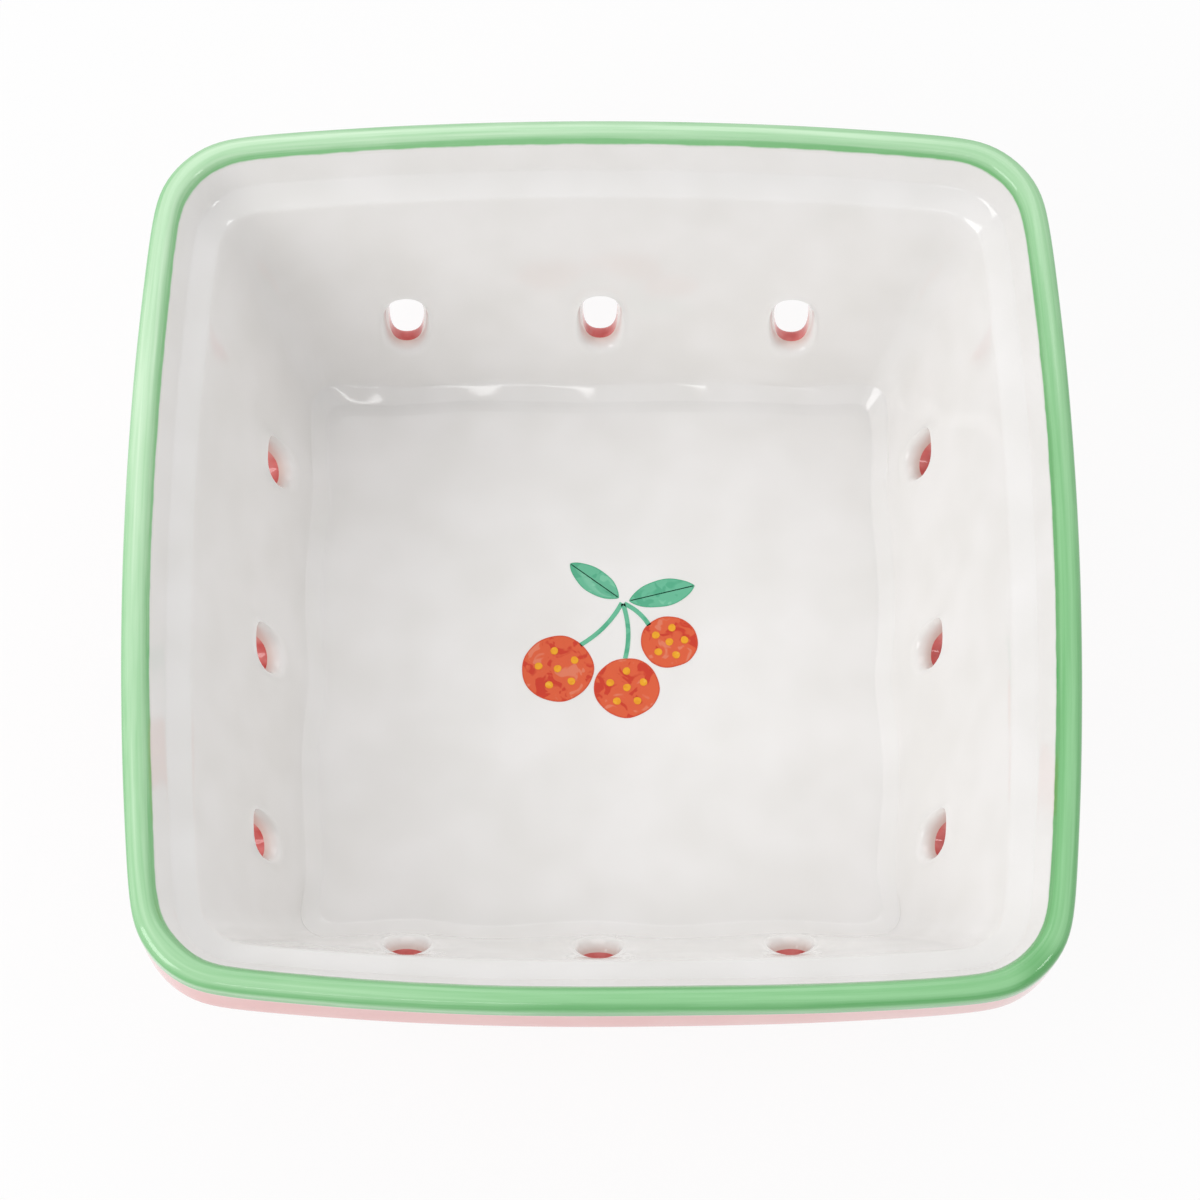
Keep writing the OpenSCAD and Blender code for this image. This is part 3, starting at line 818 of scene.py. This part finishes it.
def line_slot(wall, k):
    """Bridges the selected mouths through the wall, then shapes and colours the lining."""
    inner, outer, middle, sideways, upwards = slot_frame(wall, k)
    out = (outer - inner) / (outer - inner).length_squared
    bpy.ops.mesh.bridge_edge_loops(number_cuts=LAST - 1, interpolation="LINEAR")
    shape = bmesh.from_edit_mesh(bowl.data)
    thin_glaze_and_shade, deep = (shape.verts.layers.float[name] for name in ("thin_glaze_and_shade", "deep"))
    lining = [f for f in shape.faces if f.select]
    for v in {v for f in lining for v in f.verts if all(g.select for g in v.link_faces)}:
        away = v.co / MM - middle
        u, w = sign(away.dot(sideways)), sign(away.dot(upwards))
        # the bridge starts out on the bead
        lead = bead_share(w)
        through = ((v.co / MM - inner).dot(out) + lead) / (1 + lead)
        level = min(max(round(through * LAST), 1), LAST - 1)
        v.co = slot_point(wall, k, level, u, w) * MM
        # deeper in a slot the white thins and darkens: thin glaze, and painted shade
        v[thin_glaze_and_shade] = min(max((level - THIN_SHADE_FROM) / THIN_SHADE_OVER, 0.0), 1.0)
    for v in {v for f in lining for v in f.verts}:
        v[deep] = 0.5 - 0.5 * sign((v.co / MM - middle).dot(upwards))
    for f in lining:
        through = (f.calc_center_median() / MM - inner).dot(out)
        f.material_index = FINISHES.index("inside" if through < MEETS[wall] else "hole")
    bmesh.update_edit_mesh(bowl.data)


bpy.ops.mesh.select_mode(type="EDGE")
for wall in range(4):
    for k in (-1, 0, 1):
        shape_mouths(wall, k)
        line_slot(wall, k)
shape = bmesh.from_edit_mesh(bowl.data)
print("slots bridged, open edges:", sum(e.is_boundary for e in shape.edges))

# %% Skin finished
bpy.ops.mesh.select_all(action="SELECT")
bpy.ops.mesh.normals_make_consistent(inside=False)
bpy.ops.object.mode_set(mode="OBJECT")

# %% [markdown]
# The maker's hand
#
# Punching drags the soft clay. Under each slot the wall is pushed into the bowl as a
# small mound, over it the wall is pressed out or in a little, and the edge of the
# floor swings in by almost a millimetre below every slot. The lip warped in the
# kiln: its front runs a little aslant, and its left side is thicker. The points are
# moved in code here, because the swell of each mound is a smooth hill that no single
# operator draws.

# %% How far each form goes
# for the right, back, left and front wall, in millimetres: the mound under each slot, into
# the bowl, and the hollow over it, out of the bowl
MOUND = (0.6, 0.7, 0.6, 1.3)
BROW = (-0.7, 0.2, -0.7, 2.0)
# how far over the slot's middle each lies, and its half width and half height
MOUND_AT, MOUND_SIZE = -6.0, (4.6, 3.4)
BROW_AT, BROW_SIZE = 5.8, (4.4, 3.2)
# how much of such a push reaches the outer face, and how deep in the wall the inside starts
THROUGH, INSIDE = 0.25, 0.3
# the floor's edge swings in below a slot: how far, how wide, and between which heights it fades
FLOOR_SWING, SWING_WIDE, SWING_FADES = 0.8, 6.5, (10.0, 16.0)
# and it wavers: size, length and shift from wall to wall of its waves, inwards and upwards
EDGE_WAVES = ((0.25, 4.1, 2.0), (0.15, 2.3, 1.0))
HEIGHT_WAVE = (0.15, 3.0, 1.7)
EDGE_HEIGHTS = (7.3, 9.4)
# where the walls are
WALL_HALF, WALL_HEIGHTS = 40.0, (7.0, 40.0)
# the lip's front edge runs aslant, by this much for each millimetre sideways, and is pressed
# in a little right of its middle; both grow between these heights
LIP_SLANT = -0.0122
LIP_DENT, DENT_AT, DENT_WIDE = 0.5, 12.0, 24.0
SLANT_GROWS = (35.0, 50.0)
# the left side of the lip is thicker, by this much on its inside; it grows behind the outer
# face and upwards
LEFT = 2
LIP_EXTRA, EXTRA_BEHIND, EXTRA_UP = 0.35, (1.0, 2.6), (46.5, 50.0)

# %% Mounds, hollows and a wavy floor edge
def smooth_step(value, low, high):
    """From 0 at low to 1 at high, with soft ends."""
    share = min(max((value - low) / (high - low), 0.0), 1.0)
    return share * share * (3 - 2 * share)


def hill(a, b, wide, tall):
    """A smooth hill of height 1 round the place where a and b are 0."""
    return math.exp(-((a / wide) ** 2 + (b / tall) ** 2))


def wave(y, wall, size, length, shift):
    """A wave along a wall, another one on each wall."""
    return size * math.sin(y / length + shift * wall)


def wall_push(local, wall):
    """How far the hand pushed a point of a wall, turned to where the right wall is."""
    moved = Vector((0, 0, 0))
    arm = local - Vector((SLOT_MIDDLE[0], 0, SLOT_MIDDLE[1]))
    depth = arm.dot(INTO_BOWL) / WALL + 0.5
    reached = THROUGH + (1 - THROUGH) * min(max(depth, 0.0), 1.0)
    for k in (-1, 0, 1):
        side = local.y - slot_at(wall, k)
        above = arm.dot(UP_WALL) - UNEVEN[wall][k + 1][1]
        push = (MOUND[wall] * hill(side, above - MOUND_AT, *MOUND_SIZE)
                - BROW[wall] * hill(side, above - BROW_AT, *BROW_SIZE))
        moved += INTO_BOWL * push * reached
        if depth > INSIDE:
            faded = 1 - smooth_step(local.z, *SWING_FADES)
            moved.x -= FLOOR_SWING * hill(side, 0, SWING_WIDE, 1) * faded
    if EDGE_HEIGHTS[0] < local.z < EDGE_HEIGHTS[1] and depth > INSIDE:
        moved.x += sum(wave(local.y, wall, *values) for values in EDGE_WAVES)
        moved.z += (local.z - FLOOR_UP) * wave(local.y, wall, *HEIGHT_WAVE)
    return moved


def handwork(place):
    """How far the maker's hand moved a point, both in millimetres."""
    wall = round(math.atan2(place.y, place.x) / (math.pi / 2)) % 4
    local = facing(wall).inverted() @ place
    moved = Vector((0, 0, 0))
    if local.x > WALL_HALF and WALL_HEIGHTS[0] < local.z < WALL_HEIGHTS[1]:
        moved = wall_push(local, wall)
    if wall == LEFT:
        behind = RIM - local.y ** 2 / (8 * RIM) - local.x
        moved.x -= (LIP_EXTRA * smooth_step(behind, *EXTRA_BEHIND)
                    * smooth_step(local.z, *EXTRA_UP))
    moved = facing(wall) @ moved
    front = smooth_step(place.z, *SLANT_GROWS) * (1 - place.y / RIM) / 2
    dent = LIP_DENT * hill(place.x - DENT_AT, 0, DENT_WIDE, 1)
    moved.y += front * (LIP_SLANT * place.x + dent)
    return moved


moves = [handwork(v.co / MM) for v in bowl.data.vertices]
for v, moved in zip(bowl.data.vertices, moves):
    v.co += moved * MM
print("furthest moved point:", round(max(m.length for m in moves), 2), "mm")

# %% [markdown]
# Clay and glazes
#
# The skin is what the eye sees, so the glazes are its patches, thickened inwards to
# almost the coat's 0.4 mm. The clay is the same skin drawn in by a full coat wherever
# glaze lies on it. On the foot ring it stays out, because a potter wipes the foot
# bare, or it would melt fast to the kiln shelf.

# %% Helpers for pieces
SMOOTH_ANGLE = math.radians(40)


def active(piece):
    """Selects one piece alone."""
    bpy.ops.object.select_all(action="DESELECT")
    piece.select_set(True)
    bpy.context.view_layer.objects.active = piece


def subdivide(piece, levels):
    """Makes a piece's mesh smooth and finer, for good."""
    active(piece)
    smooth = piece.modifiers.new("smooth", "SUBSURF")
    smooth.levels = smooth.render_levels = levels
    bpy.ops.object.modifier_apply(modifier="smooth")


def thicken(piece, name, thickness, offset):
    """Gives a sheet its thickness, inwards where offset is -1 and outwards where it is 1."""
    thick = piece.modifiers.new(name, "SOLIDIFY")
    thick.thickness = thickness * MM
    thick.offset = offset
    bpy.ops.object.modifier_apply(modifier=name)


def copy_of(piece, name):
    """A copy of a piece, under a name of its own."""
    active(piece)
    bpy.ops.object.duplicate()
    made = bpy.context.object
    made.name = made.data.name = name
    return made


def dress(piece, finish, slot, *nodes):
    """Gives a finished piece its one material and its place among the frame's nodes."""
    piece.data.materials.clear()
    piece.data.materials.append(finish)
    piece.data.polygons.foreach_set("material_index", [0] * len(piece.data.polygons))
    active(piece)
    bpy.ops.object.shade_smooth_by_angle(angle=SMOOTH_ANGLE)
    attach(piece, "root")
    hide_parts(*nodes)
    print(piece.name, len(piece.data.polygons), "faces")


# %% Clay body
clay = copy_of(bowl, "stoneware_body")
bpy.ops.object.mode_set(mode="EDIT")
bpy.ops.mesh.select_mode(type="VERT")
shape = bmesh.from_edit_mesh(clay.data)
for v in shape.verts:
    v.select = not any(FINISHES[f.material_index] == "foot" for f in v.link_faces)
shape.select_flush(True)
bmesh.update_edit_mesh(clay.data)
bpy.ops.transform.shrink_fatten(value=-GLAZE * MM)
bpy.ops.object.mode_set(mode="OBJECT")
print("clay is", round(max(v.co.x for v in clay.data.vertices) / MM, 2), "mm from middle to side")
subdivide(clay, 1)
dress(clay, stoneware, "bare_clay", "clay_body")

# %% Glazes
# a coat stays this much short of the clay, so that the two don't fight for the same place
SHORT = 0.04
subdivide(bowl, 2)
for finish, name, material, slot, replaced in (
        ("inside", "white_liner", white_glaze, "white_glaze", "inside_glaze"),
        ("rim", "green_band", green_glaze, "green_glaze", "rim_glaze"),
        ("outside", "pink_outside", pink_glaze, "pink_glaze", "outside_glaze"),
        ("base", "pink_underside", pink_glaze, "pink_glaze", "base_glaze"),
        ("hole", "rose_slots", rose_glaze, "rose_glaze", "hole_glaze")):
    coat = copy_of(bowl, name)
    bpy.ops.object.mode_set(mode="EDIT")
    bpy.ops.mesh.select_mode(type="FACE")
    shape = bmesh.from_edit_mesh(coat.data)
    for f in shape.faces:
        f.select = FINISHES[f.material_index] != finish
    bmesh.update_edit_mesh(coat.data)
    bpy.ops.mesh.delete(type="FACE")
    bpy.ops.object.mode_set(mode="OBJECT")
    thicken(coat, "coat", GLAZE - SHORT, -1)
    dress(coat, material, slot, replaced)
bpy.data.objects.remove(bowl)

# %% [markdown]
# The print
#
# A sprig of round berries is brushed on the floor in watery underglaze colours and
# lies under the clear coat. Such a wash is flat, its outline wanders, its colour
# gathers along the edge and in blots where the brush was lifted. Each blot is a
# circle that is pushed into shape, and an inset ring along its edge carries the
# darker line.

# %% Watercolour
# between which values of the noise the three tones of a wash change
BLOT_STOPS = (0.40, 0.45, 0.60, 0.65)


def wash(name, tones, blot_mm, edge_tone):
    """Watery colour under the clear coat: blots of three tones, and a darker edge."""
    material, tree, colour, coords, _ = glaze(name, tones[:2])
    blots = node(tree, "TexNoise", {}, {
        "Vector": coords, "Scale": 1000 / blot_mm, "Detail": 2.0, "Roughness": 0.6,
        "Distortion": 0.6})
    stops = [(at, linear(tones[n])) for at, n in zip(BLOT_STOPS, (0, 1, 1, 2))]
    tone = node(tree, "ValToRGB", {"stops": stops}, {"Fac": blots.outputs["Fac"]})
    rim = node(tree, "Attribute", {"attribute_name": "edge"})
    painted = node(tree, "Mix", COLOURS, {
        0: rim.outputs["Fac"], 6: tone.outputs["Color"], 7: linear(edge_tone)})
    tree.links.new(painted.outputs[RESULT], colour)
    return material


berry_wash = wash(
    "red_watercolour_underglaze", ("#cf3a22", "#e05f38", "#e47d5e"), 2.8, "#d24a2a")
leaf_wash = wash(
    "green_watercolour_underglaze", ("#55b08a", "#68bd98", "#7cc9a6"), 3.0, "#4fae86")
pip_wash = wash(
    "yellow_dot_underglaze", ("#eb9c17", "#f0a91c", "#f3b53a"), 1.0, "#ea9a18")
print(len(bpy.data.materials), "materials")

# %% Patches of colour
PRINT_AT = Vector((0.0, 1.6, FLOOR_UP))
PRINT_T = 0.06
FILM_POINTS = 96


def wobble(a, seed, size):
    """A closed, smooth, uneven line round a shape."""
    return size * (math.sin(2 * a + seed) + 0.7 * math.sin(3 * a + 2.1 * seed)
                   + 0.4 * math.sin(7 * a + seed))


def face_up(patch):
    """In edit mode: turns the faces of a flat patch upwards."""
    bpy.ops.mesh.select_all(action="SELECT")
    bpy.ops.mesh.normals_make_consistent(inside=False)
    shape = bmesh.from_edit_mesh(patch.data)
    if sum(f.normal.z for f in shape.faces) < 0:
        bpy.ops.mesh.flip_normals()


def film(centre, outline, edge_mm, level=0.0):
    """A flat patch of colour with an inset edge. outline gives a point, in mm, for an angle."""
    bpy.ops.object.select_all(action="DESELECT")
    bpy.ops.mesh.primitive_circle_add(vertices=FILM_POINTS, radius=MM, fill_type="NGON")
    patch = bpy.context.object
    for k, v in enumerate(patch.data.vertices):
        v.co = (centre + outline(2 * math.pi * k / FILM_POINTS)) * MM
        v.co.z += level * MM
    edge = patch.data.attributes.new("edge", "FLOAT", "POINT")
    edge.data.foreach_set("value", [1.0] * FILM_POINTS)
    bpy.ops.object.mode_set(mode="EDIT")
    face_up(patch)
    bpy.ops.mesh.inset(thickness=edge_mm * MM)
    shape = bmesh.from_edit_mesh(patch.data)
    edge = shape.verts.layers.float["edge"]
    for v in shape.verts:
        if v.select:
            v[edge] = 0.0
    bmesh.update_edit_mesh(patch.data)
    bpy.ops.object.mode_set(mode="OBJECT")
    return patch


def blob(wide, tall, size, seed, second_seed):
    """The outline of a round patch, from its half width and half height."""
    return lambda a: Vector((
        (wide + wobble(a, seed, size)) * math.cos(a),
        (tall + wobble(a, second_seed, size)) * math.sin(a), 0))


def leaf(length, width, size, seed, spin):
    """The outline of a pointed leaf that starts at its stalk."""
    return lambda a: spin @ Vector((
        length / 2 * (1 - math.cos(a)),
        (width / 2 + wobble(a, seed, size)) * math.sin(a) * abs(math.sin(a)) ** 0.6, 0))


def join(pieces, name):
    """Makes one printed piece of several patches."""
    active(pieces[0])
    for piece in pieces:
        piece.select_set(True)
    bpy.ops.object.join()
    made = bpy.context.object
    made.name = made.data.name = name
    bpy.ops.object.transform_apply(location=True, rotation=True, scale=True)
    thicken(made, "film", PRINT_T, 1)
    return made


# %% Berries
BERRY = 11.0
# place of each berry, and its size against the largest
BERRIES = ((-6.6, -3.4, 1.0), (4.1, -6.5, 0.91), (10.7, 1.0, 0.8))
FLATTER = 0.97
BERRY_WOBBLE, BERRY_EDGE = 0.09, 0.3
berries = []
for seed, (x, y, size) in enumerate(BERRIES, 1):
    r = BERRY * size / 2
    outline = blob(r, r * FLATTER, BERRY_WOBBLE, seed, seed + 4)
    berries.append(film(PRINT_AT + Vector((x, y, 0)), outline, BERRY_EDGE))
dress(join(berries, "painted_berries"), berry_wash, "berry_print", "print_berries")

# %% Leaves
# where the stalks and leaves meet; then for each leaf its shift from there, its direction in
# degrees, its length and its width
JOINT = Vector((3.6, 7.6, 0))
LEAVES = (((0.9, 0.2), 14, 10.5, 4.6), ((-0.7, 0.7), 143, 9.5, 4.2))
LEAF_WOBBLE, LEAF_EDGE = 0.08, 0.25
leaves = []
for seed, (shift, angle, length, width) in enumerate(LEAVES, 1):
    spin = Matrix.Rotation(math.radians(angle), 3, "Z")
    outline = leaf(length, width, LEAF_WOBBLE, seed, spin)
    leaves.append(film(PRINT_AT + JOINT + Vector((*shift, 0)), outline, LEAF_EDGE))
dress(join(leaves, "painted_leaves"), leaf_wash, "leaf_print", "print_leaves")

# %% Stalks
# width, bend and number of steps of a stalk, and its gaps to the berry and to the joint
STALK = 0.7
STALK_BEND = math.radians(30)
STALK_STEPS = 12
BERRY_GAP, JOINT_GAP = 0.1, 0.6
stalks = []
for x, y, size in BERRIES:
    berry_at = Vector((x, y, 0))
    ahead = (JOINT - berry_at).normalized()
    foot = berry_at + ahead * (BERRY * size / 2 + BERRY_GAP)
    radius = ((JOINT - foot).length - JOINT_GAP) / (2 * math.sin(STALK_BEND / 2))
    heading = math.atan2(ahead.y, ahead.x) - STALK_BEND / 2
    centre = PRINT_AT + foot + Vector((-math.sin(heading), math.cos(heading), 0)) * radius
    bpy.ops.object.select_all(action="DESELECT")
    bpy.ops.mesh.primitive_plane_add(
        size=STALK * MM, location=(PRINT_AT + foot) * MM, rotation=(0, 0, heading))
    stroke = bpy.context.object
    bpy.ops.object.transform_apply(location=True, rotation=True, scale=True)
    stroke.data.attributes.new("edge", "FLOAT", "POINT")
    bpy.ops.object.mode_set(mode="EDIT")
    bpy.ops.mesh.select_mode(type="EDGE")
    bpy.ops.mesh.select_all(action="DESELECT")
    shape = bmesh.from_edit_mesh(stroke.data)
    head = Vector((math.cos(heading), math.sin(heading), 0))
    front = max(shape.edges, key=lambda e: (e.verts[0].co + e.verts[1].co).dot(head))
    front.select = True
    bmesh.update_edit_mesh(stroke.data)
    bpy.ops.mesh.spin(
        steps=STALK_STEPS, angle=STALK_BEND, center=centre * MM, axis=(0, 0, -1))
    face_up(stroke)
    bpy.ops.object.mode_set(mode="OBJECT")
    stalks.append(stroke)
dress(join(stalks, "painted_stalks"), leaf_wash, "leaf_print", "print_stalks")

# %% Pips
# one in the middle of each berry and this many round it
PIPS = 5
PIP = 1.2
PIP_WOBBLE, PIP_EDGE = 0.02, 0.12
# how far out they are, as a share of the berry, and how far each berry's are turned
PIPS_OUT, PIPS_TURN = 0.27, 100
pips = []
for x, y, size in BERRIES:
    for k in range(PIPS + 1):
        turn = math.radians(360 * k / PIPS + PIPS_TURN * size)
        reach = BERRY * size * PIPS_OUT if k else 0
        pip_at = PRINT_AT + Vector((x, y, 0)) + Vector((math.cos(turn), math.sin(turn), 0)) * reach
        pips.append(film(pip_at, blob(PIP / 2, PIP / 2, PIP_WOBBLE, k, k), PIP_EDGE, PRINT_T))
dress(join(pips, "painted_pips"), pip_wash, "pip_print", "print_pips")
